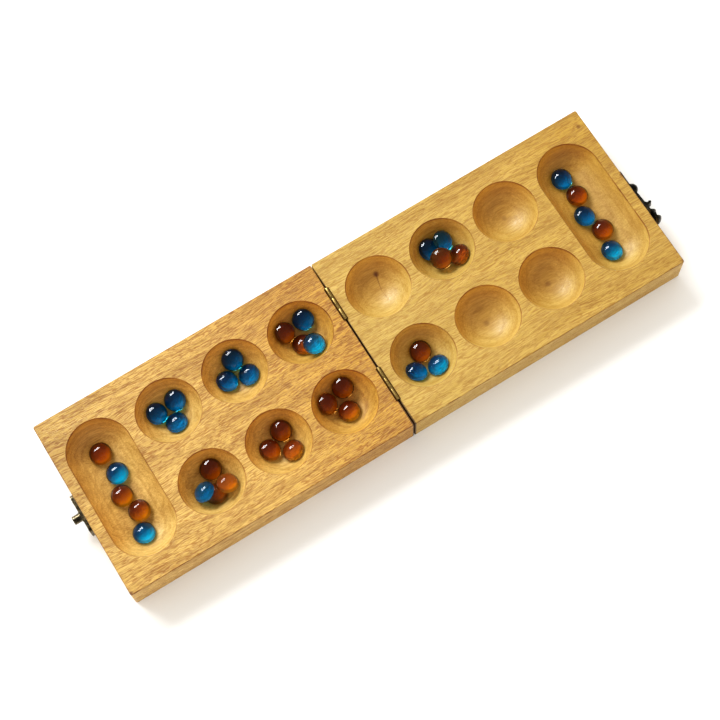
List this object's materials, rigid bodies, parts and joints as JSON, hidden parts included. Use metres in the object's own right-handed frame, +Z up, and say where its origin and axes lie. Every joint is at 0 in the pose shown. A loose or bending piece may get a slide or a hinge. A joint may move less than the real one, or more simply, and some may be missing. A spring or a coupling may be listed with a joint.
{
  "type": "folding mancala board",
  "caption": "Folding wooden mancala board that hinges open flat, with round pits, end stores, a swinging hook latch and glass playing stones.",
  "frame": {"origin": "on the underside of the open board, at the fold line and the board's centre line", "axes": "+X along the open board towards the latch end, +Y across the board towards the back row of pits, +Z up"},
  "size_m": [0.4726, 0.14, 0.0296],
  "materials": {
    "wood_left": "satin lacquered honey hardwood, straight grain, darker near the fold",
    "wood_right": "satin lacquered pale golden hardwood, straight grain",
    "hinge_brass": "polished brass, a little tarnished",
    "hinge_screws": "plated brass",
    "keeper_bronze": "antique bronze plating, rubbed bright on the raised parts",
    "latch_bronze": "dark antique bronze plating",
    "blue_glass": "clear transparent glass, blue, fire polished",
    "amber_glass": "clear transparent glass, amber to red brown, fire polished"
  },
  "bodies": {
    "left_half": {"left_board": "wood_left", "back_hinge_left_leaf": "hinge_brass", "back_hinge_left_screws": "hinge_screws", "back_hinge_pin": "hinge_brass", "front_hinge_left_leaf": "hinge_brass", "front_hinge_left_screws": "hinge_screws", "front_hinge_pin": "hinge_brass", "keeper_plate": "keeper_bronze", "keeper_stud": "keeper_bronze", "keeper_nails": "keeper_bronze", "amber_stone_01": "amber_glass", "blue_stone_02": "blue_glass", "amber_stone_03": "amber_glass", "amber_stone_04": "amber_glass", "blue_stone_05": "blue_glass", "blue_stone_06": "blue_glass", "blue_stone_07": "blue_glass", "blue_stone_08": "blue_glass", "blue_stone_09": "blue_glass", "blue_stone_10": "blue_glass", "blue_stone_11": "blue_glass", "blue_stone_12": "blue_glass", "amber_stone_13": "amber_glass", "amber_stone_14": "amber_glass", "blue_stone_15": "blue_glass", "amber_stone_16": "amber_glass", "amber_stone_17": "amber_glass", "amber_stone_18": "amber_glass", "blue_stone_19": "blue_glass", "amber_stone_20": "amber_glass", "amber_stone_21": "amber_glass", "amber_stone_22": "amber_glass", "amber_stone_23": "amber_glass", "amber_stone_24": "amber_glass", "amber_stone_25": "amber_glass"},
    "right_half": {"right_board": "wood_right", "back_hinge_right_leaf": "hinge_brass", "back_hinge_right_screws": "hinge_screws", "front_hinge_right_leaf": "hinge_brass", "front_hinge_right_screws": "hinge_screws", "latch_plate": "latch_bronze", "latch_rivet": "latch_bronze", "latch_nails": "latch_bronze", "blue_stone_26": "blue_glass", "amber_stone_27": "amber_glass", "blue_stone_28": "blue_glass", "amber_stone_29": "amber_glass", "amber_stone_30": "amber_glass", "blue_stone_31": "blue_glass", "blue_stone_32": "blue_glass", "blue_stone_33": "blue_glass", "amber_stone_34": "amber_glass", "blue_stone_35": "blue_glass", "amber_stone_36": "amber_glass", "blue_stone_37": "blue_glass"},
    "latch_hook": {"latch_arm": "latch_bronze"}
  },
  "joints": [
    {"name": "fold", "type": "hinge", "parent": "left_half", "child": "right_half", "pos_m": [0, 0, 0.0282], "axis": [0, -1, 0], "range_deg": [0, 180]},
    {"name": "latch_swing", "type": "hinge", "parent": "right_half", "child": "latch_hook", "pos_m": [0.22735, 0, 0.014], "axis": [-1, 0, 0], "range_deg": [-25, 78]}
  ]
}
